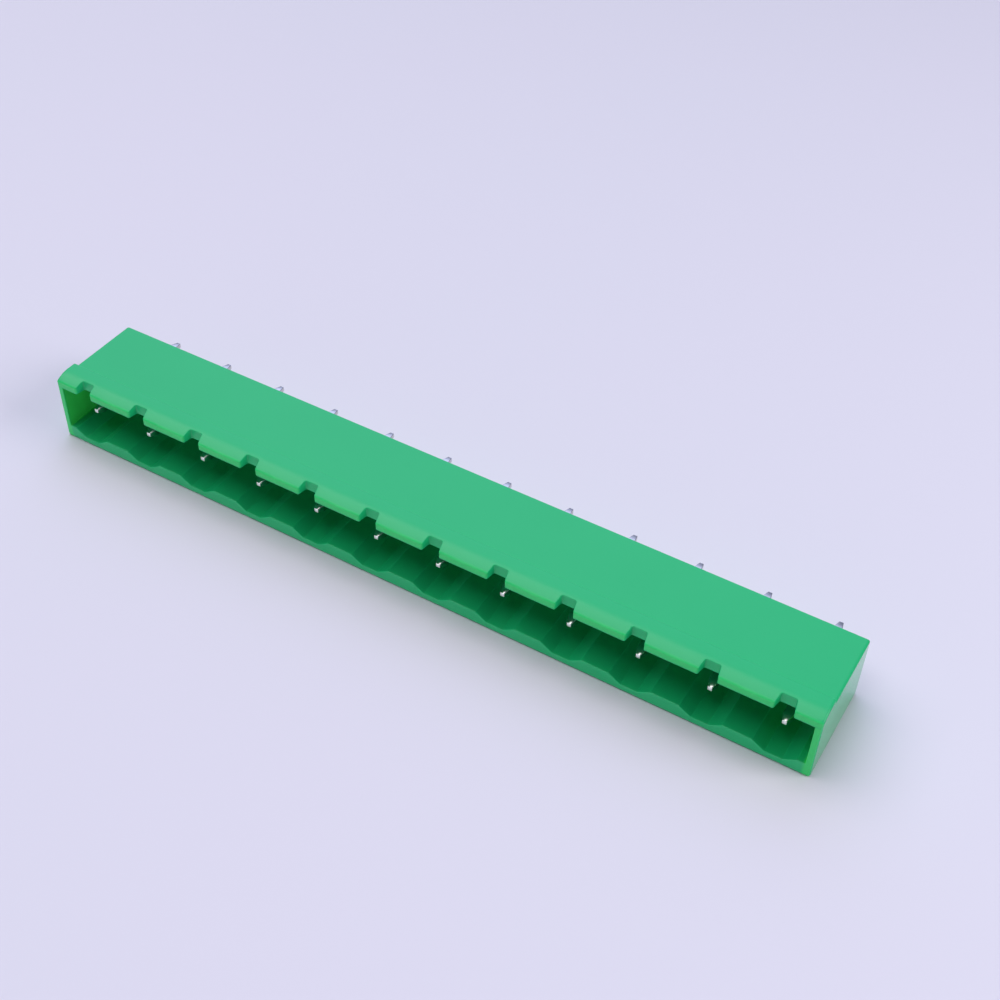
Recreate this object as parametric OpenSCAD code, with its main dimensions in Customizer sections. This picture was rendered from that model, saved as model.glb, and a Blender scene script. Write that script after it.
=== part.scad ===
// Straight header for a pluggable terminal block: the half that is soldered to a circuit board.
// One moulded housing with an open mouth, and a row of square pins pressed through its base.
// It lies on its plain wall. The mouth faces -Y, the board face and the solder tails face +Y,
// and the latching ridge runs along the upper edge of the mouth.

/* [Row] */
// Number of contacts
poles = 12; // [2:1:24]
// Distance from one contact to the next
pitch = 7.62; // [7:0.01:10.16]

/* [Housing] */
// Depth from the mouth to the board face
body_depth = 12; // [11:0.1:15]
// Height from the plain wall to the latch wall, without the ridge
body_height = 7.9; // [7.6:0.1:10]
// Thickness of the base that holds the pins
base_thickness = 3.6; // [3.4:0.1:5]
// Thickness of each end wall
end_wall = 0.7; // [0.5:0.05:1.2]
// Thickness of the latch wall
latch_wall = 0.8; // [0.6:0.05:1.2]
// Radius of the outer edges
edge_radius = 0.25; // [0.15:0.05:0.35]

/* [Plain wall] */
// Thickness at the bottom of a groove
plain_wall = 0.8; // [0.6:0.05:1.2]
// Height of the lands above the grooves
land_height = 0.85; // [0.4:0.05:1.2]
// Width of the land between two contacts
land_width = 3.1; // [2.5:0.1:4]
// Width of a groove's flat bottom
groove_width = 1.8; // [1.2:0.1:2.4]

/* [Latching ridge] */
// Height of the ridge above the latch wall
ridge_height = 0.58; // [0.3:0.02:1]
// Length of the ridge from the mouth to its step
ridge_length = 3; // [2.6:0.1:4]
// Length of the flat crest behind the rounded nose
crest_length = 1.1; // [0.6:0.1:1.6]
// Depth of the notch over each contact
notch_depth = 1.15; // [0.8:0.05:2]
// Width of the notch at the mouth
notch_mouth = 2; // [1.8:0.1:2.6]
// Width of the notch at its back
notch_back = 1.6; // [1.2:0.1:1.8]

/* [Board face] */
// Width of the relief round each solder tail
relief_width = 3; // [2.4:0.1:4]
// Depth of the relief
relief_depth = 0.45; // [0.2:0.05:0.6]
// Distance from the latch wall's outer face to the relief
relief_margin = 1.1; // [0.8:0.1:1.6]
// Width of the slot that opens through the plain wall
slot_width = 1.4; // [1:0.1:2]
// Height of the slot above the plain wall's outer face
slot_height = 2.9; // [2:0.1:3]
// Depth of the slot below the relief
slot_depth = 2.6; // [1.5:0.1:2.6]
// Diameter of the gate mark in each relief
gate_diameter = 0.7; // [0.4:0.1:1]

/* [Pins] */
// Side of the square pin
pin_size = 1; // [0.8:0.05:1.2]
// Distance from the latch wall's outer face to the pin axis
pin_drop = 3.7; // [3.4:0.1:4]
// Length of the solder tail beyond the board face
solder_length = 3.9; // [3:0.1:5]
// Distance from the mouth to the contact's tip
contact_inset = 1.4; // [0.5:0.1:3]
// Length of the bevels on the solder tip
solder_bevel = 1.35; // [0.6:0.05:1.8]
// Length of the bevels on the contact tip
contact_bevel = 0.8; // [0.4:0.05:1.2]
// Side of the flat left on each tip
tip_flat = 0.46; // [0.3:0.02:0.6]

/* [Hidden] */
// A cut reaches this far past the face that it opens through
past = 1;
// Flats in the quarter turn of a rounded edge
edge_steps = 4;
// Flats along the nose of the latching ridge
nose_steps = 10;
// Radius of the ridge's edge at its step, and the reach of the small chamfer at its foot
ridge_radius = 0.12;
// Radius in the inner corners of the notches and slots
corner_radius = 0.18;
// Radius of a notch's two outer corners at the mouth
notch_rounding = 0.2;
// The gate mark is a shallow round dimple, this far from the relief's closed end
gate_offset = 0.7;
gate_depth = 0.14;
gate_sides = 32;
// Clearance round the pin where it leaves the base, and how deep it goes
collar_gap = 0.14;
collar_depth = 0.2;
// Wedge-shaped barbs on two sides of the pin, inside the base
barb_reach = 0.14;
barb_length = 2;
barb_height = 0.6;

row_length = poles * pitch;
inner_x = row_length / 2 - end_wall;
mouth_y = -(body_depth + solder_length) / 2;
board_y = mouth_y + body_depth;
relief_y = board_y - relief_depth;
cavity_floor_y = board_y - base_thickness;
crest_z = body_height + ridge_height;
latch_inner_z = body_height - latch_wall;
land_z = plain_wall + land_height;
pin_z = body_height - pin_drop;
relief_top_z = body_height - relief_margin;
contact_tip_y = mouth_y + contact_inset;
solder_tip_y = board_y + solder_length;
barb_y = (cavity_floor_y + relief_y - barb_length) / 2;

plastic_green = [0.20, 0.66, 0.42];
tin_grey = [0.78, 0.78, 0.77];

function pin_name(i) = str("pin_", i < 10 ? "0" : "", i);

// X of a contact, counted from 1 at the left end
function pole_x(i) = (i - (poles + 1) / 2) * pitch;

// Points along an arc
function arc(centre, radius, from, to, steps) = [
    for (k = [0:steps])
        let (angle = from + (to - from) * k / steps)
        centre + radius * [cos(angle), sin(angle)]
];

// Outline of a rectangle with rounded corners
function round_rect(low, high, radius, steps) = concat(
    arc([high.x - radius, high.y - radius], radius, 0, 90, steps),
    arc([low.x + radius, high.y - radius], radius, 90, 180, steps),
    arc([low.x + radius, low.y + radius], radius, 180, 270, steps),
    arc([high.x - radius, low.y + radius], radius, 270, 360, steps)
);

// An outline in Y and Z, swept along X from a start
module along_x(outline, start, length) {
    translate([start, 0, 0])
        rotate([90, 0, 90])
            linear_extrude(length)
                polygon(outline);
}

// An outline in X and Z, swept along Y from a start
module along_y(outline, start, length) {
    translate([0, start + length, 0])
        rotate([90, 0, 0])
            linear_extrude(length)
                polygon(outline);
}

// An outline in X and Y, swept upwards from a start
module along_z(outline, start, length) {
    translate([0, 0, start])
        linear_extrude(length)
            polygon(outline);
}

// A length of the row with this side view, its ends rounded as the housing's are
module row_solid(side_outline, top_z) {
    low_x = -row_length / 2;
    intersection() {
        along_x(side_outline, low_x - past, row_length + 2 * past);
        along_y(
            round_rect([low_x, 0], [-low_x, top_z], edge_radius, edge_steps),
            mouth_y - past,
            body_depth + 2 * past
        );
        along_z(
            round_rect([low_x, mouth_y], [-low_x, board_y], edge_radius, edge_steps),
            -past,
            top_z + 2 * past
        );
    }
}

module block() {
    row_solid(round_rect([mouth_y, 0], [board_y, body_height], edge_radius, edge_steps), body_height);
}

// The nose rises from the mouth on one arc, runs level along the crest and drops at the step
module latching_ridge() {
    nose_length = ridge_length - crest_length;
    nose_radius = (nose_length ^ 2 + ridge_height ^ 2) / (2 * ridge_height);
    nose_sweep = asin((nose_length - ridge_radius) / nose_radius);
    root_z = body_height - latch_wall / 2;
    step_y = mouth_y + ridge_length;
    outline = concat(
        [[mouth_y, root_z], [mouth_y, body_height - ridge_radius]],
        arc([mouth_y + nose_length, crest_z - nose_radius], nose_radius, 90 + nose_sweep, 90, nose_steps),
        arc([step_y - ridge_radius, crest_z - ridge_radius], ridge_radius, 90, 0, edge_steps),
        [[step_y, root_z]]
    );
    row_solid(outline, crest_z);
}

// The space that the plug fills. A groove runs in under each contact, with lands between
module cavity() {
    land_edge = (pitch - land_width) / 2;
    grooves = [
        for (i = [1:poles])
            each [
                [pole_x(i) - land_edge, land_z],
                [pole_x(i) - groove_width / 2, plain_wall],
                [pole_x(i) + groove_width / 2, plain_wall],
                [pole_x(i) + land_edge, land_z]
            ]
    ];
    outline = concat(
        [[-inner_x, land_z]],
        grooves,
        [[inner_x, land_z], [inner_x, latch_inner_z], [-inner_x, latch_inner_z]]
    );
    along_y(outline, mouth_y - past, cavity_floor_y - mouth_y + past);
}

// A tapered notch in the mouth's upper edge
module notch() {
    back_y = mouth_y + notch_depth;
    corner_x = notch_back / 2 - corner_radius;
    flare_x = notch_mouth / 2 + notch_rounding;
    flare_y = mouth_y + notch_rounding;
    outline = concat(
        [[flare_x, mouth_y - past]],
        arc([flare_x, flare_y], notch_rounding, 270, 180, edge_steps),
        arc([corner_x, back_y - corner_radius], corner_radius, 0, 90, edge_steps),
        arc([-corner_x, back_y - corner_radius], corner_radius, 90, 180, edge_steps),
        arc([-flare_x, flare_y], notch_rounding, 0, -90, edge_steps),
        [[-flare_x, mouth_y - past]]
    );
    along_z(outline, latch_inner_z - past, crest_z - latch_inner_z + 2 * past);
}

// A shallow relief round the solder tail, open through the plain wall's edge
module relief() {
    translate([-relief_width / 2, relief_y, -past])
        cube([relief_width, relief_depth + past, relief_top_z + past]);
    translate([0, relief_y + past, relief_top_z - gate_offset])
        rotate([90, 0, 0])
            cylinder(h = gate_depth + past, d = gate_diameter, $fn = gate_sides);
}

// A deeper slot behind the solder tail, open through the plain wall
module slot() {
    corner_x = slot_width / 2 - corner_radius;
    outline = concat(
        [[-slot_width / 2, -past], [slot_width / 2, -past]],
        arc([corner_x, slot_height - corner_radius], corner_radius, 0, 90, edge_steps),
        arc([-corner_x, slot_height - corner_radius], corner_radius, 90, 180, edge_steps)
    );
    along_y(outline, relief_y - slot_depth, slot_depth + relief_depth + past);
}

// One wedge across the pin, which starts inside it and comes out on both sides towards the board
module barbs() {
    root = pin_size / 4;
    reach = pin_size / 2 + barb_reach;
    wedge = [
        [-root, barb_y],
        [root, barb_y],
        [reach, barb_y + barb_length],
        [-reach, barb_y + barb_length]
    ];
    along_z(wedge, -barb_height / 2, barb_height);
}

// The square passage that the pin is pressed into, with a wider collar at the relief
module pin_passage() {
    collar = pin_size + 2 * collar_gap;
    translate([0, 0, pin_z]) {
        translate([-pin_size / 2, cavity_floor_y - past, -pin_size / 2])
            cube([pin_size, relief_y - cavity_floor_y + 2 * past, pin_size]);
        translate([-collar / 2, relief_y - collar_depth, -collar / 2])
            cube([collar, collar_depth + past, collar]);
        barbs();
    }
}

module housing() {
    color(plastic_green)
        difference() {
            union() {
                block();
                latching_ridge();
            }
            cavity();
            for (i = [1:poles])
                translate([pole_x(i), 0, 0]) {
                    notch();
                    relief();
                    slot();
                    pin_passage();
                }
        }
}

// A square pin, bevelled on four sides at both ends
module pin(i) {
    side = pin_size / 2;
    tip = tip_flat / 2;
    half_view = [
        [tip, contact_tip_y],
        [side, contact_tip_y + contact_bevel],
        [side, solder_tip_y - solder_bevel],
        [tip, solder_tip_y]
    ];
    plan = concat(half_view, [for (k = [3:-1:0]) [-half_view[k].x, half_view[k].y]]);
    color(tin_grey)
        translate([pole_x(i), 0, pin_z]) {
            intersection() {
                along_z(plan, -pin_size, 2 * pin_size);
                along_x([for (p = plan) [p.y, p.x]], -pin_size, 2 * pin_size);
            }
            barbs();
        }
}

housing();
for (i = [1:poles])
    pin(i);
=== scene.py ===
"""Board header for a pluggable terminal block, finished for a studio picture.

The housing is a green moulding with eased edges, and each pin is drawn square wire with a tin plate.
All sizes are in metres, in the row's own frame.
"""

import math

import bmesh
import bpy
from bpy.props import FloatProperty, FloatVectorProperty, PointerProperty
from mathutils import Matrix, Vector


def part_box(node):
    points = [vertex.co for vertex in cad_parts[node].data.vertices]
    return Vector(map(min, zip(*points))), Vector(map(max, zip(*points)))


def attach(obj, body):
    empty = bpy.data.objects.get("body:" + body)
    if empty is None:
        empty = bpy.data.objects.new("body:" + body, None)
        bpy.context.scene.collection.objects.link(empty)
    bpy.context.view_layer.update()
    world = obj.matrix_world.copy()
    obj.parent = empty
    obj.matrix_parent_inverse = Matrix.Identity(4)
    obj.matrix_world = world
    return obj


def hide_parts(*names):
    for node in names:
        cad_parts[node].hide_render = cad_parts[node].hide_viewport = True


bl_info = {
    "name": "Pluggable header finisher",
    "version": (1, 0, 0),
    "blender": (4, 5, 0),
    "location": "View3D > Sidebar > Header",
    "description": "Gives a board header its moulded housing, tinned pins and studio",
    "category": "Object",
}

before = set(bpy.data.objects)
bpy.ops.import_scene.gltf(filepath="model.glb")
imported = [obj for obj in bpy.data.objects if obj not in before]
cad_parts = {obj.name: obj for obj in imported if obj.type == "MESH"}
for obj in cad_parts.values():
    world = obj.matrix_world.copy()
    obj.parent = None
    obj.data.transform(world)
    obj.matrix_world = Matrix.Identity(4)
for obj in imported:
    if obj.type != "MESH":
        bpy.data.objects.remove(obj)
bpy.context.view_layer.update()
MM = 0.001
HOUSING = "housing"
PINS = sorted(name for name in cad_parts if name.startswith("pin_"))


# ---------------------------------------------------------------- sizes and colours

def length(name, description, millimetres):
    """A length property, written in millimetres and kept in metres."""
    return FloatProperty(name=name, description=description, subtype="DISTANCE", unit="LENGTH",
                         min=0.0, precision=5, default=millimetres * MM)


class HousingSettings(bpy.types.PropertyGroup):
    """Sizes and colours of the moulded housing."""
    end_wall: length("End wall", "Thickness of each end wall", 0.7)
    latch_wall: length("Latch wall", "Thickness of the wall with the latching ridge", 0.8)
    plain_wall: length("Plain wall", "Thickness of the plain wall at the bottom of a groove", 0.8)
    base: length("Base", "Thickness of the base that holds the pins", 3.6)
    land_height: length("Land height", "Height of the lands above the grooves", 0.85)
    land_width: length("Land width", "Width of the land between two contacts", 3.1)
    groove_width: length("Groove width", "Width of a groove's flat bottom", 1.8)
    ridge_height: length("Ridge height", "Height of the latching ridge", 0.58)
    ridge_length: length("Ridge length", "From the mouth to the ridge's step", 3.0)
    crest_length: length("Crest length", "Flat crest behind the rounded nose", 1.1)
    step_ease: length("Step ease", "Radius of the ridge's edge and chamfer at its foot", 0.12)
    notch_radius: length("Notch radius", "Radius in the inner corners of a notch", 0.18)
    notch_depth: length("Notch depth", "Depth of the notch over each contact", 1.15)
    notch_mouth: length("Notch mouth", "Width of the notch at the mouth", 2.0)
    notch_back: length("Notch back", "Width of the notch at its back", 1.6)
    relief_width: length("Relief width", "Width of the relief round each tail", 3.0)
    relief_depth: length("Relief depth", "Depth of the relief", 0.45)
    relief_margin: length("Relief margin", "From the latch wall's face to the relief", 1.1)
    slot_width: length("Slot width", "Width of the slot through the plain wall", 1.4)
    slot_height: length("Slot height", "Height of the slot", 2.9)
    slot_depth: length("Slot depth", "Depth of the slot below the relief", 2.6)
    collar_gap: length("Collar gap", "Clearance round the pin where it leaves the base", 0.14)
    collar_depth: length("Collar depth", "Depth of that clearance", 0.2)
    gate_size: length("Gate size", "Diameter of the gate dimple in each relief", 0.7)
    gate_depth: length("Gate depth", "Depth of the gate dimple", 0.14)
    outer_radius: length("Outer radius", "Radius of the outer edges", 0.25)
    rim_ease: length("Rim ease", "Width of the bevel on the sharp rims", 0.08)
    colour: FloatVectorProperty(
        name="Moulding green", description="Colour of the flat faces",
        subtype="COLOR", size=3, min=0.0, max=1.0, default=(0.008, 0.440, 0.155))
    # Painted light: this brighter, yellower green stands in for light shining through the thin walls.
    painted_through_light: FloatVectorProperty(
        name="Thin green", description="Yellower green of the thin walls, where light comes through",
        subtype="COLOR", size=3, min=0.0, max=1.0, default=(0.055, 0.860, 0.110))
    roughness: FloatProperty(
        name="Roughness", description="Roughness of the moulded skin",
        subtype="FACTOR", min=0.0, max=1.0, default=0.32)
    end_roughness: FloatProperty(
        name="End roughness", description="Roughness of the two end faces, which are polished",
        subtype="FACTOR", min=0.0, max=1.0, default=0.08)
    grain: length("Grain", "Size of the spark-eroded grain", 0.16)


class PinSettings(bpy.types.PropertyGroup):
    """Sizes and colours of the tinned pins."""
    side: length("Side", "Side of the square wire", 1.0)
    contact_bevel: length("Contact bevel", "Length of the bevels on the contact tip", 0.8)
    solder_bevel: length("Solder bevel", "Length of the bevels on the solder tip", 1.35)
    tip_flat: length("Tip flat", "Side of the flat left on each tip", 0.46)
    barb_height: length("Barb height", "Height of the barbs inside the base", 0.6)
    barb_length: length("Barb length", "Length of the barbs", 0.72)
    edge_radius: length("Edge radius", "Rounding along the drawn wire's edges", 0.07)
    colour: FloatVectorProperty(
        name="Tin", description="Colour of the tin plate",
        subtype="COLOR", size=3, min=0.0, max=1.0, default=(0.60, 0.60, 0.59))
    # Paler ends: partly the sheared wire, partly a painted highlight on the tips.
    end_and_glint_colour: FloatVectorProperty(
        name="Sheared end", description="Colour of the brighter sheared ends",
        subtype="COLOR", size=3, min=0.0, max=1.0, default=(0.93, 0.93, 0.90))
    roughness: FloatProperty(
        name="Roughness", description="Roughness of the tin plate",
        subtype="FACTOR", min=0.0, max=1.0, default=0.15)


class StudioSettings(bpy.types.PropertyGroup):
    """Floor, lamps and camera."""
    floor_colour: FloatVectorProperty(
        name="Floor", description="Colour of the floor",
        subtype="COLOR", size=3, min=0.0, max=1.0, default=(0.69, 0.68, 0.765))
    floor_size: FloatProperty(
        name="Floor size", description="Side of the floor",
        subtype="DISTANCE", unit="LENGTH", min=0.1, default=1.2)
    air_colour: FloatVectorProperty(
        name="Air", description="Colour of the light from all round",
        subtype="COLOR", size=3, min=0.0, max=1.0, default=(0.62, 0.68, 1.0))
    air_high: FloatProperty(
        name="Air behind", description="Strength of that light from behind the part",
        min=0.0, default=1.85)
    air_low: FloatProperty(
        name="Air low", description="Strength of that light from close to the floor",
        min=0.0, default=0.45)
    azimuth: FloatProperty(
        name="Azimuth", description="Camera's turn from the mouth side towards the last contact",
        subtype="ANGLE", unit="ROTATION", default=math.radians(29.60))
    elevation: FloatProperty(
        name="Elevation", description="Camera's height above the floor as an angle",
        subtype="ANGLE", unit="ROTATION", default=math.radians(43.53))
    roll: FloatProperty(
        name="Roll", description="Camera's turn about its own axis",
        subtype="ANGLE", unit="ROTATION", default=math.radians(1.74))
    distance: FloatProperty(
        name="Distance", description="From the camera to the point that it looks at",
        subtype="DISTANCE", unit="LENGTH", min=0.01, default=159.4 * MM)
    lens: FloatProperty(
        name="Lens", description="Focal length in millimetres",
        min=1.0, default=53.61)


# ---------------------------------------------------------------- shader tree

class Socket:
    """An output socket with the arithmetic that Math nodes do."""

    def __init__(self, tree, link):
        self.tree = tree
        self.link = link

    def _math(self, operation, *values, clamp=False):
        return self.tree.add("ShaderNodeMath", {"operation": operation, "use_clamp": clamp},
                             dict(enumerate(values)))

    def __add__(self, other):
        return self._math("ADD", self, other)

    def __sub__(self, other):
        return self._math("SUBTRACT", self, other)

    def __mul__(self, other):
        return self._math("MULTIPLY", self, other)

    def __truediv__(self, other):
        return self._math("DIVIDE", self, other)

    def __pow__(self, other):
        return self._math("POWER", self, other)

    def __radd__(self, other):
        return self._math("ADD", other, self)

    def __rsub__(self, other):
        return self._math("SUBTRACT", other, self)

    def __rmul__(self, other):
        return self._math("MULTIPLY", other, self)

    def __rtruediv__(self, other):
        return self._math("DIVIDE", other, self)

    def __abs__(self):
        return self._math("ABSOLUTE", self)

    def least(self, other):
        return self._math("MINIMUM", self, other)

    def most(self, other):
        return self._math("MAXIMUM", self, other)

    def clamped(self):
        return self._math("ADD", self, 0.0, clamp=True)


class Tree:
    """The node tree of one material."""

    def __init__(self, name):
        self.material = bpy.data.materials.new(name)
        self.material.use_nodes = True
        self.start(self.material.node_tree, "ShaderNodeOutputMaterial")

    def start(self, node_tree, output):
        self.nodes = node_tree.nodes
        self.links = node_tree.links
        self.nodes.clear()
        self.output = self.nodes.new(output)

    @classmethod
    def on(cls, node_tree, output):
        """A tree that fills a node tree that is there already, such as the world's."""
        tree = cls.__new__(cls)
        tree.material = None
        tree.start(node_tree, output)
        return tree

    def add(self, kind, settings=None, inputs=None, out=0):
        """One node of a kind: its settings first, then the values or links of its sockets."""
        node = self.nodes.new(kind)
        for key, value in (settings or {}).items():
            setattr(node, key, value)
        for key, value in (inputs or {}).items():
            self.feed(node.inputs[key], value)
        return Socket(self, node.outputs[out])

    def feed(self, socket, value):
        if isinstance(value, Socket):
            self.links.new(value.link, socket)
        else:
            socket.default_value = value

    def place(self):
        return self.add("ShaderNodeTexCoord", out="Object")

    def axes(self):
        """X, Y and Z of the point being shaded, in the row's frame."""
        split = self.add("ShaderNodeSeparateXYZ", {}, {0: self.place()})
        node = split.link.node
        return [Socket(self, node.outputs[k]) for k in range(3)]

    def noise(self, size, detail=2.0, roughness=0.5, vector=None):
        """A noise from 0 to 1 whose patches are about as wide as the size."""
        return self.add("ShaderNodeTexNoise", {}, {
            "Vector": vector or self.place(), "Scale": 1.0 / size,
            "Detail": detail, "Roughness": roughness}, out="Fac")

    def mix(self, factor, first, second):
        """The first colour where the factor is 0 and the second where it is 1."""
        node = self.nodes.new("ShaderNodeMix")
        node.data_type = "RGBA"
        self.feed(node.inputs[0], factor)
        self.feed(node.inputs[6], first)
        self.feed(node.inputs[7], second)
        return Socket(self, node.outputs[2])

    def bump(self, height, distance, strength=1.0, normal=None):
        """A normal that leans as a relief of this distance would, on top of another if one is given."""
        values = {"Height": height, "Distance": distance, "Strength": strength}
        if normal is not None:
            values["Normal"] = normal
        return self.add("ShaderNodeBump", {}, values, out="Normal")

    def finish(self, varying, constant):
        """The surface shader: what varies is linked, and the rest is set on its own sockets."""
        shader = self.nodes.new("ShaderNodeBsdfPrincipled")
        for key, value in {**varying, **constant}.items():
            self.feed(shader.inputs[key], value)
        self.links.new(shader.outputs[0], self.output.inputs[0])
        return self.material


def rgba(colour):
    """A colour with full opacity."""
    return (*colour, 1.0)


def moulded_green(settings):
    """Green nylon, straight from the mould: fine grain, faint flow clouds, and a brighter green painted
    on the thin walls for light coming through them.
    """
    tree = Tree("moulded_green")
    low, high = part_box(HOUSING)
    x, y, z = tree.axes()
    # The masks run from 0 to 1 over this length, and the one at the base over six of them.
    fade = 0.3 * MM
    past_wall = (abs(x) - (high.x - settings.end_wall - fade)) / fade
    under_roof = (high.z - settings.ridge_height - settings.latch_wall + fade - z) / fade
    before_base = (high.y - settings.base + fade - y) / (6 * fade)
    inside = (y - low.y) / fade * 0.6 + 0.4
    end_face = ((abs(x) - (high.x - settings.outer_radius / 2)) / (settings.outer_radius / 4)).clamped()
    # end_wall and lip mark where the painted through-light goes: the inside of the end walls and the lip
    # at the mouth.
    end_wall = (past_wall.clamped() * under_roof.clamped() * before_base.clamped()
                * inside.clamped() * (1.0 - end_face))
    lip = (1.0 - (y - low.y) / fade).clamped() * (1.0 - under_roof).clamped()
    # The lip gets about a third of the painted through-light that the end walls get.
    thin = end_wall.most(lip * 0.35)
    clouds = tree.noise(9 * MM, detail=3.0)
    speck = tree.noise(0.5 * MM, detail=2.0)
    # Painted light: the thin walls and the lip are mixed towards the brighter green that stands in for
    # light coming through them.
    base = tree.mix(thin, rgba(settings.colour), rgba(settings.painted_through_light))
    pale = rgba([min(1.0, c * 1.10 + 0.01) for c in settings.colour])
    base = tree.mix((clouds - 0.35) * 0.5, base, pale)
    grain = tree.noise(settings.grain, detail=2.0, roughness=0.6)
    waves = tree.noise(3.5 * MM, detail=1.0)
    fine = tree.bump(grain, 0.004 * MM, 0.35)
    normal = tree.bump(waves, 0.02 * MM, 0.5, fine)
    gloss = end_face * (settings.roughness - settings.end_roughness)
    rough = settings.roughness - gloss + (speck - 0.5) * 0.05 + (clouds - 0.5) * 0.05
    return tree.finish(
        {"Base Color": base, "Roughness": rough, "Normal": normal},
        {"IOR": 1.42})


def tin_plate(settings):
    """Bright tin over drawn wire: long drawing marks, soft blotches, and paler sheared ends that also
    serve as a painted highlight on the tips.
    """
    tree = Tree("tin_plate")
    low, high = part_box(PINS[0])
    _, y, _ = tree.axes()
    # Within about 0.12 mm of each end the tin is painted paler and rougher: partly sheared wire, partly a
    # painted highlight on the tips.
    from_end = (y - low.y).least(high.y - y) / (0.1 * MM)
    sheared_and_glint = (1.2 - from_end).clamped()
    stretched = tree.add("ShaderNodeMapping", {}, {
        "Vector": tree.place(), "Scale": (1.0, 0.06, 1.0)})
    lines = tree.noise(0.09 * MM, detail=2.0, vector=stretched)
    blotch = tree.noise(0.7 * MM, detail=3.0)
    dark = rgba([c * 0.80 for c in settings.colour])
    base = tree.mix(blotch, rgba(settings.colour), dark)
    base = tree.mix(sheared_and_glint, base, rgba(settings.end_and_glint_colour))
    rough = settings.roughness + (blotch - 0.5) * 0.12 + (lines - 0.5) * 0.06 + sheared_and_glint * 0.2
    return tree.finish(
        {"Base Color": base, "Roughness": rough, "Normal": tree.bump(lines, 0.004 * MM, 0.4)},
        {"Metallic": 1.0})


def pale_floor(settings):
    """A smooth pale sheet with the faintest clouding."""
    tree = Tree("pale_floor")
    clouds = tree.noise(90 * MM, detail=2.0)
    warm = rgba([settings.floor_colour[0] * 1.03, settings.floor_colour[1] * 0.985,
                 settings.floor_colour[2]])
    base = tree.mix(clouds, rgba(settings.floor_colour), warm)
    return tree.finish({"Base Color": base}, {"Roughness": 0.75, "IOR": 1.3})


# ---------------------------------------------------------------- meshes

def prism(form, outline, axis, low, high):
    """A closed prism: the outline, as points on the two axes after this one, swept along the axis."""
    def point(a, b, along):
        spot = [0.0, 0.0, 0.0]
        spot[axis], spot[(axis + 1) % 3], spot[(axis + 2) % 3] = along, a, b
        return Vector(spot)

    face = form.faces.new([form.verts.new(point(a, b, low)) for a, b in outline])
    swept = bmesh.ops.extrude_face_region(form, geom=[face], use_keep_orig=True)
    moved = [v for v in swept["geom"] if isinstance(v, bmesh.types.BMVert)]
    sweep = [0.0, 0.0, 0.0]
    sweep[axis] = high - low
    bmesh.ops.translate(form, verts=moved, vec=sweep)


def block(form, low, high):
    """A box between two corners."""
    prism(form, [(low[0], low[1]), (high[0], low[1]), (high[0], high[1]), (low[0], high[1])],
          2, low[2], high[2])


def soften(form, edges, radius, segments=3):
    """Rounds some edges of a form with a bevel."""
    bmesh.ops.bevel(form, geom=edges, offset=radius, offset_type="OFFSET", segments=segments,
                    profile=0.5, affect="EDGES", material=-1, clamp_overlap=False)


def object_from(form, name):
    """An object at the origin that holds the form's mesh, with its faces outwards."""
    bmesh.ops.recalc_face_normals(form, faces=form.faces)
    mesh = bpy.data.meshes.new(name)
    form.to_mesh(mesh)
    form.free()
    made = bpy.data.objects.new(name, mesh)
    bpy.context.scene.collection.objects.link(made)
    return made


def bake_modifiers(piece):
    """Replaces the piece's mesh by what its modifiers make of it."""
    graph = bpy.context.evaluated_depsgraph_get()
    graph.update()
    result = bpy.data.meshes.new_from_object(piece.evaluated_get(graph))
    old = piece.data
    piece.modifiers.clear()
    piece.data = result
    result.name = piece.name
    bpy.data.meshes.remove(old)


def cut(piece, form):
    """Cuts a form out of the piece."""
    cutter = object_from(form, "cutter")
    carve = piece.modifiers.new("carve", "BOOLEAN")
    carve.operation = "DIFFERENCE"
    carve.solver = "EXACT"
    carve.object = cutter
    bake_modifiers(piece)
    mesh = cutter.data
    bpy.data.objects.remove(cutter)
    bpy.data.meshes.remove(mesh)


def round_over(piece, widest, width_of, segments=3, splits=()):
    """Rounds each edge by the width that width_of gives it, and shades flat faces flat.

    Long faces are split where X is one of the splits, which keeps their triangles short.
    """
    form = bmesh.new()
    form.from_mesh(piece.data)
    bmesh.ops.remove_doubles(form, verts=form.verts, dist=0.001 * MM)
    bmesh.ops.dissolve_limit(
        form, angle_limit=math.radians(0.2), verts=form.verts, edges=form.edges)
    weight = form.edges.layers.float.new("bevel_weight_edge")
    for edge in form.edges:
        turn = edge.calc_face_angle(0.0)
        edge[weight] = width_of(edge, turn) / widest if turn > math.radians(12) else 0.0
    form.to_mesh(piece.data)
    form.free()
    bevel = piece.modifiers.new("rounded_edges", "BEVEL")
    bevel.width = widest
    bevel.segments = segments
    bevel.limit_method = "WEIGHT"
    bevel.use_clamp_overlap = False
    bevel.miter_outer = "MITER_SHARP"
    bake_modifiers(piece)
    form = bmesh.new()
    form.from_mesh(piece.data)
    bmesh.ops.remove_doubles(form, verts=form.verts, dist=0.002 * MM)
    for x in splits:
        bmesh.ops.bisect_plane(form, geom=form.verts[:] + form.edges[:] + form.faces[:],
                               dist=0.0005 * MM, plane_co=(x, 0, 0), plane_no=(1, 0, 0))
    for face in form.faces:
        face.smooth = True
    for edge in form.edges:
        edge.smooth = edge.calc_face_angle(0.0) < math.radians(50)
    form.to_mesh(piece.data)
    form.free()
    shade = piece.modifiers.new("flat_faces_first", "WEIGHTED_NORMAL")
    shade.keep_sharp = True
    bake_modifiers(piece)


def pin_axis(node):
    """X and Z of a pin's axis."""
    low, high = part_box(node)
    return (low.x + high.x) / 2, (low.z + high.z) / 2


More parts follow.
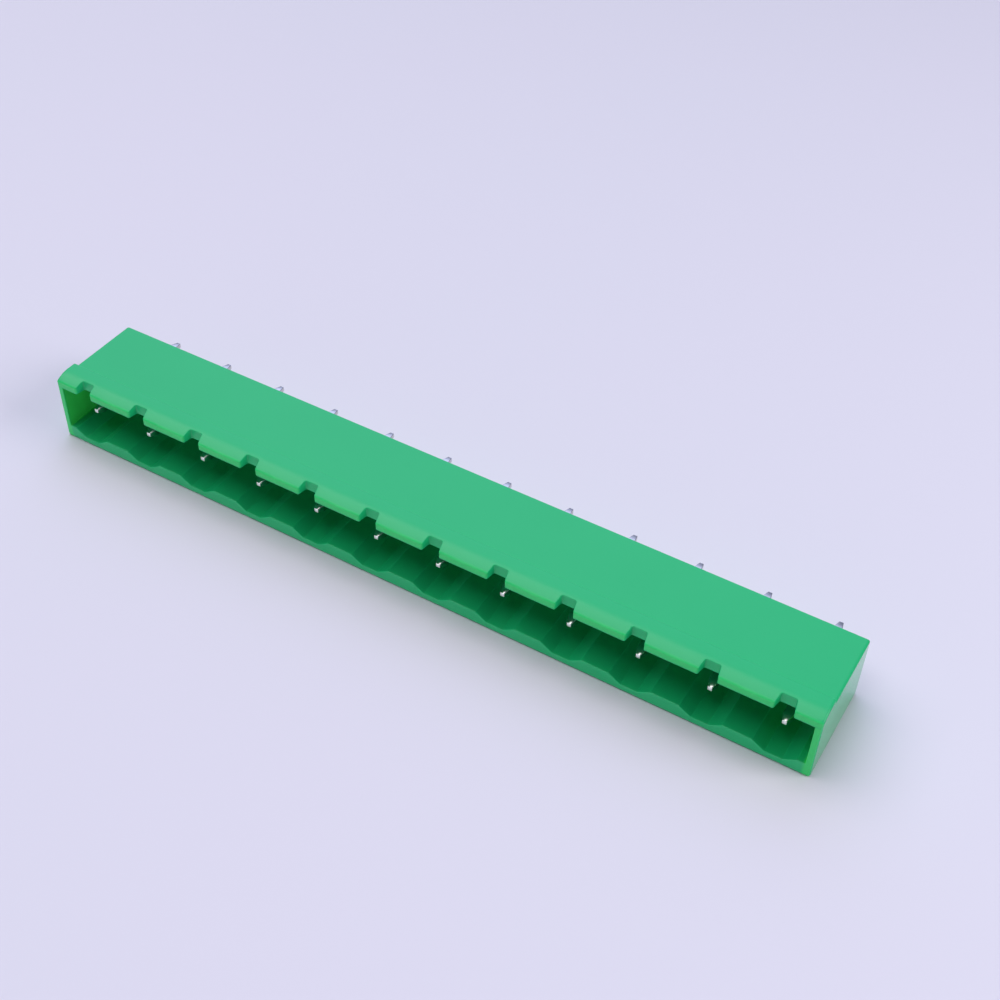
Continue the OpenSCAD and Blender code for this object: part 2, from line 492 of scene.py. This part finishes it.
def body_outline(s, low, high):
    """The housing's side view in Y and Z: a box with the latching ridge on top."""
    top = high.z - s.ridge_height
    nose = s.ridge_length - s.crest_length
    radius = (nose ** 2 + s.ridge_height ** 2) / (2 * s.ridge_height)
    sweep = math.asin(nose / radius)
    centre = (low.y + nose, high.z - radius)
    step = low.y + s.ridge_length
    steps = 9
    arc = [(centre[0] - radius * math.sin(sweep * k / steps),
            centre[1] + radius * math.cos(sweep * k / steps)) for k in range(steps + 1)]
    foot = s.step_ease
    return [(low.y, low.z), (high.y, low.z), (high.y, top), (step + foot, top),
            (step, top + foot), (step, high.z)] + arc


def cavity_outline(s, low, high, centres):
    """The mouth's outline in X and Z, read anticlockwise from the left: grooves, lands and a flat top."""
    floor = low.z + s.plain_wall
    land = floor + s.land_height
    top = high.z - s.ridge_height - s.latch_wall
    pitch = centres[1] - centres[0]
    flank = (pitch - s.land_width) / 2
    inner = high.x - s.end_wall
    points = [(-inner, land)]
    for x in centres:
        points += [(x - flank, land), (x - s.groove_width / 2, floor),
                   (x + s.groove_width / 2, floor), (x + flank, land)]
    return points + [(inner, land), (inner, top), (-inner, top)]


def mould_body(s):
    """The housing, carved from one block in the order a toolmaker would think of it."""
    past = 1.0 * MM     # how far a cutter reaches beyond the face that it opens
    near = 0.02 * MM    # two places closer than this are the same
    gate_sides = 24
    low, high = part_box(HOUSING)
    places = [pin_axis(node) for node in PINS]
    centres = [x for x, _ in places]
    pin_z = places[0][1]
    side = bpy.context.scene.header_pins.side / 2
    reach = side + s.collar_gap
    floor_y = high.y - s.base
    relief_y = high.y - s.relief_depth
    top = high.z - s.ridge_height
    inner_top = top - s.latch_wall
    relief_top = top - s.relief_margin
    gate_z = relief_top - s.gate_size

    form = bmesh.new()
    prism(form, body_outline(s, low, high), 0, low.x, high.x)
    body = object_from(form, "moulded_housing")

    form = bmesh.new()
    outline = [(z, x) for x, z in cavity_outline(s, low, high, centres)]
    prism(form, outline, 1, low.y - past, floor_y)
    cut(body, form)

    form = bmesh.new()
    for x in centres:
        mouth, back = s.notch_mouth / 2, s.notch_back / 2
        lip = (mouth - back) * past / s.notch_depth
        prism(form, [(x - mouth - lip, low.y - past), (x + mouth + lip, low.y - past),
                     (x + back, low.y + s.notch_depth), (x - back, low.y + s.notch_depth)],
              2, inner_top - past, high.z + past)
    corners = [e for e in form.edges
               if all(abs(v.co.y - low.y - s.notch_depth) < near for v in e.verts)
               and abs(e.verts[0].co.z - e.verts[1].co.z) > past]
    soften(form, corners, s.notch_radius)
    for x in centres:
        block(form, (x - s.relief_width / 2, relief_y, low.z - past),
              (x + s.relief_width / 2, high.y + past, relief_top))
    cut(body, form)

    form = bmesh.new()
    for x in centres:
        block(form, (x - s.slot_width / 2, relief_y - s.slot_depth, low.z - past),
              (x + s.slot_width / 2, high.y + past, low.z + s.slot_height))
        block(form, (x - side, floor_y - past, pin_z - side),
              (x + side, high.y + past, pin_z + side))
    cut(body, form)

    form = bmesh.new()
    for x in centres:
        block(form, (x - reach, relief_y - s.collar_depth, pin_z - reach),
              (x + reach, high.y + past, pin_z + reach))
        turns = [t * math.tau / gate_sides for t in range(gate_sides)]
        ring = [(gate_z + s.gate_size / 2 * math.sin(t),
                 x + s.gate_size / 2 * math.cos(t)) for t in turns]
        prism(form, ring, 1, relief_y - s.gate_depth, relief_y + past)
    cut(body, form)

    step = low.y + s.ridge_length
    lower_rim = low.z + 2 * MM

    def width_of(edge, turn):
        """How far an edge of the housing is eased, from where it lies and how it runs."""
        a, b = (v.co for v in edge.verts)
        middle = (a + b) / 2
        offset = min(abs(middle.x - x) for x in centres)
        along_x = abs(a.y - b.y) < near and abs(a.z - b.z) < near
        upright = abs(a.x - b.x) < 0.3 * MM and abs(a.z - b.z) > 0.3 * MM
        at_mouth = abs(middle.y - low.y) < near
        at_board = abs(middle.y - high.y) < near

        # The ridge's rounded nose stays as it is, and the end faces get the outer radius.
        if turn < math.radians(20):
            return 0.0
        if abs(abs(middle.x) - high.x) < near and abs(a.x - b.x) < near:
            return s.outer_radius
        # The ridge's step: its upper edge is rounded, and the chamfer at its foot stays sharp.
        if abs(middle.y - step) < s.step_ease + near and middle.z > top - near:
            return s.step_ease if middle.z > high.z - near and along_x else 0.0
        # The long outer edges.
        if along_x and (abs(middle.z - low.z) < near or at_board) and (
                at_mouth or abs(middle.z - top) < near or at_board):
            return s.outer_radius
        # A pin's hole and a gate mark: sharp inside, and barely eased at the relief.
        if middle.y > floor_y + near and offset < reach + near:
            if middle.z > pin_z - reach - near and middle.y < relief_y - near:
                return 0.0
            if abs(middle.y - relief_y) < near and middle.z > s.slot_height + near:
                return 0.025 * MM
        if abs(middle.y - floor_y) < near and offset < side + near and (
                abs(middle.z - pin_z) < side + near):
            return 0.0
        # A notch: its corners at the mouth are rounded, and the cutter has rounded those at its back.
        if upright and middle.y < low.y + near and offset < s.notch_mouth:
            return s.outer_radius * 0.8
        if upright and low.y + near < middle.y < low.y + s.notch_depth + near and (
                offset < s.notch_mouth):
            return 0.0
        if at_mouth and middle.z < lower_rim:
            return s.rim_ease * 1.5
        return s.rim_ease

    between = [(a + b) / 2 for a, b in zip(centres, centres[1:])]
    round_over(body, s.outer_radius, width_of, splits=between)
    return body


def draw_pin(s, node):
    """One length of square wire with coined tips and a pair of barbs."""
    low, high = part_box(node)
    x, z = pin_axis(node)
    side = s.side / 2
    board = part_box(HOUSING)[1].y
    shell = bpy.context.scene.header_housing
    cover = 0.6 * MM    # from the relief's floor to the wide end of the barbs
    start = board - shell.relief_depth - s.barb_length - cover
    end = start + s.barb_length
    reach = (high.x - low.x) / 2 - side

    near, about = 0.001 * MM, 0.01 * MM    # a tight and a loose test for the same place
    form = bmesh.new()
    block(form, (x - side, low.y, z - side), (x + side, high.y, z + side))
    cuts = [((0, low.y + s.contact_bevel, 0), (0, 1, 0)), ((0, high.y - s.solder_bevel, 0), (0, 1, 0)),
            ((0, start, 0), (0, 1, 0)), ((0, end, 0), (0, 1, 0)),
            ((0, 0, z - s.barb_height / 2), (0, 0, 1)), ((0, 0, z + s.barb_height / 2), (0, 0, 1))]
    for spot, normal in cuts:
        bmesh.ops.bisect_plane(form, geom=form.verts[:] + form.edges[:] + form.faces[:],
                               dist=0.0001 * MM, plane_co=spot, plane_no=normal)
    tips = [v for v in form.verts if v.co.y < low.y + near or v.co.y > high.y - near]
    bmesh.ops.scale(form, verts=tips, vec=(s.tip_flat / s.side, 1.0, s.tip_flat / s.side),
                    space=Matrix.Translation((-x, 0, -z)))
    patches = [f for f in form.faces
               if abs(abs(f.normal.x) - 1.0) < 0.01
               and start < f.calc_center_median().y < end
               and abs(f.calc_center_median().z - z) < s.barb_height / 2]
    swept = bmesh.ops.extrude_discrete_faces(form, faces=patches)
    for face in swept["faces"]:
        outward = 1.0 if face.calc_center_median().x > x else -1.0
        far = [v for v in face.verts if v.co.y > end - near]
        bmesh.ops.translate(form, verts=far, vec=(outward * reach, 0.0, 0.0))
    bmesh.ops.remove_doubles(form, verts=form.verts, dist=near)
    bmesh.ops.dissolve_limit(form, angle_limit=math.radians(0.2), verts=form.verts, edges=form.edges)
    pin = object_from(form, "tinned_" + node)

    def width_of(edge, turn):
        """The barbs stay sharp, and the flats on the tips are eased a little less than the wire."""
        middle = (edge.verts[0].co + edge.verts[1].co) / 2
        if start - about < middle.y < end + about and abs(middle.z - z) < side * 0.9:
            return 0.0
        at_tip = middle.y < low.y + about or middle.y > high.y - about
        return s.edge_radius * (0.8 if at_tip else 1.0)

    round_over(pin, s.edge_radius, width_of)
    return pin


class HEADER_OT_mould_housing(bpy.types.Operator):
    """Mould the green housing with rounded outer edges and eased rims"""
    bl_idname = "header.mould_housing"
    bl_label = "Mould the housing"

    def execute(self, context):
        settings = context.scene.header_housing
        piece = mould_body(settings)
        piece.data.materials.clear()
        piece.data.materials.append(moulded_green(settings))
        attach(piece, "root")
        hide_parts(HOUSING)
        return {"FINISHED"}


class HEADER_OT_draw_pins(bpy.types.Operator):
    """Draw and tin-plate the square pins"""
    bl_idname = "header.draw_pins"
    bl_label = "Draw the pins"

    def execute(self, context):
        settings = context.scene.header_pins
        finish = tin_plate(settings)
        for node in PINS:
            piece = draw_pin(settings, node)
            piece.data.materials.clear()
            piece.data.materials.append(finish)
            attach(piece, "root")
            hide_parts(node)
        return {"FINISHED"}


def area_lamp(name, place, aim, size, power):
    """A plain white rectangular lamp."""
    lamp = bpy.data.lights.new(name, "AREA")
    lamp.shape = "RECTANGLE"
    lamp.size, lamp.size_y = size
    lamp.energy = power
    holder = bpy.data.objects.new(name, lamp)
    holder.location = place
    holder.rotation_euler = (Vector(aim) - Vector(place)).to_track_quat("-Z", "Y").to_euler()
    bpy.context.scene.collection.objects.link(holder)
    return holder


def studio_air(settings):
    """Soft light from behind and from close to the floor, and a plain pale backdrop."""
    world = bpy.data.worlds.new("studio_air")
    world.use_nodes = True
    tree = Tree.on(world.node_tree, "ShaderNodeOutputWorld")
    split = tree.add("ShaderNodeSeparateXYZ", {}, {
        0: tree.add("ShaderNodeTexCoord", out="Generated")})
    x, y, z = [Socket(tree, split.link.node.outputs[k]) for k in range(3)]
    patch = (-0.36, 0.63, 0.69)     # the way to the bright patch, high up behind the part
    falloff, gain = 10.0, 1.4
    low_top = 0.45                  # how far up the light from close to the floor reaches
    everywhere = 0.04
    behind = ((x * patch[0] + y * patch[1] + z * patch[2]).clamped() ** falloff * gain).least(1.0)
    near_floor = (1.0 - z / low_top).clamped()
    level = behind * settings.air_high + near_floor * settings.air_low + everywhere
    light = tree.add("ShaderNodeBackground", {}, {
        "Color": rgba(settings.air_colour), "Strength": level})
    backdrop = tree.add("ShaderNodeBackground", {}, {
        "Color": rgba(settings.floor_colour), "Strength": 1.0})
    seen = tree.add("ShaderNodeLightPath", out="Is Camera Ray")
    both = tree.add("ShaderNodeMixShader", {}, {0: seen, 1: light, 2: backdrop})
    tree.links.new(both.link, tree.output.inputs[0])
    return world


class HEADER_OT_build_studio(bpy.types.Operator):
    """Lay the pale floor, hang the soft lamps and place the camera"""
    bl_idname = "header.build_studio"
    bl_label = "Build the studio"

    def execute(self, context):
        settings = context.scene.header_studio
        scene = context.scene

        form = bmesh.new()
        bmesh.ops.create_grid(form, x_segments=1, y_segments=1, size=settings.floor_size / 2)
        mesh = bpy.data.meshes.new("studio_floor")
        form.to_mesh(mesh)
        form.free()
        floor = bpy.data.objects.new("studio_floor", mesh)
        mesh.materials.append(pale_floor(settings))
        scene.collection.objects.link(floor)

        area_lamp("overhead_softbox", place=(-0.30, -0.06, 0.55), aim=(-0.30, -0.06, 0.0),
                  size=(0.75, 0.50), power=3.0)
        area_lamp("side_softbox", place=(0.36, 0.08, 0.24), aim=(0.05, 0.0, 0.0),
                  size=(0.24, 0.24), power=0.95)
        area_lamp("front_strip", place=(-0.03, -0.36, 0.022), aim=(0.0, 0.0, 0.004),
                  size=(0.50, 0.036), power=0.38)
        scene.world = studio_air(settings)

        towards = Vector((
            math.sin(settings.azimuth) * math.cos(settings.elevation),
            -math.cos(settings.azimuth) * math.cos(settings.elevation),
            math.sin(settings.elevation)))
        # The camera looks at a point close behind the board face, a little past the row's middle.
        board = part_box(HOUSING)[1].y
        past_middle, past_board, above_floor = 4.1 * MM, 1.33 * MM, 4.0 * MM
        aim = Vector((past_middle, board + past_board, above_floor))
        camera = bpy.data.cameras.new("studio_camera")
        camera.lens = settings.lens
        camera.sensor_width = 36.0
        camera.clip_start = 0.001
        holder = bpy.data.objects.new("studio_camera", camera)
        turn = (-towards).to_track_quat("-Z", "Y").to_matrix().to_4x4()
        roll = Matrix.Rotation(settings.roll, 4, "Z")
        holder.matrix_world = Matrix.Translation(aim + towards * settings.distance) @ turn @ roll
        scene.collection.objects.link(holder)
        scene.camera = holder

        scene.view_settings.view_transform = "Standard"
        return {"FINISHED"}


class HEADER_PT_panel(bpy.types.Panel):
    """The steps that finish the header"""
    bl_idname = "HEADER_PT_panel"
    bl_label = "Board header"
    bl_space_type = "VIEW_3D"
    bl_region_type = "UI"
    bl_category = "Header"

    def draw(self, context):
        for operator in STEPS:
            self.layout.operator(operator.bl_idname)
        for group in ("header_housing", "header_pins", "header_studio"):
            settings = getattr(context.scene, group)
            box = self.layout.box()
            for key in settings.__annotations__:
                box.prop(settings, key)


STEPS = (HEADER_OT_mould_housing, HEADER_OT_draw_pins, HEADER_OT_build_studio)
GROUPS = {
    "header_housing": HousingSettings,
    "header_pins": PinSettings,
    "header_studio": StudioSettings,
}


def register():
    for group in GROUPS.values():
        bpy.utils.register_class(group)
    for name, group in GROUPS.items():
        setattr(bpy.types.Scene, name, PointerProperty(type=group))
    for operator in STEPS:
        bpy.utils.register_class(operator)
    bpy.utils.register_class(HEADER_PT_panel)


def unregister():
    bpy.utils.unregister_class(HEADER_PT_panel)
    for operator in reversed(STEPS):
        bpy.utils.unregister_class(operator)
    for name in GROUPS:
        delattr(bpy.types.Scene, name)
    for group in GROUPS.values():
        bpy.utils.unregister_class(group)


def main():
    register()
    bpy.ops.header.mould_housing()
    bpy.ops.header.draw_pins()
    bpy.ops.header.build_studio()


if __name__ == "__main__":
    main()
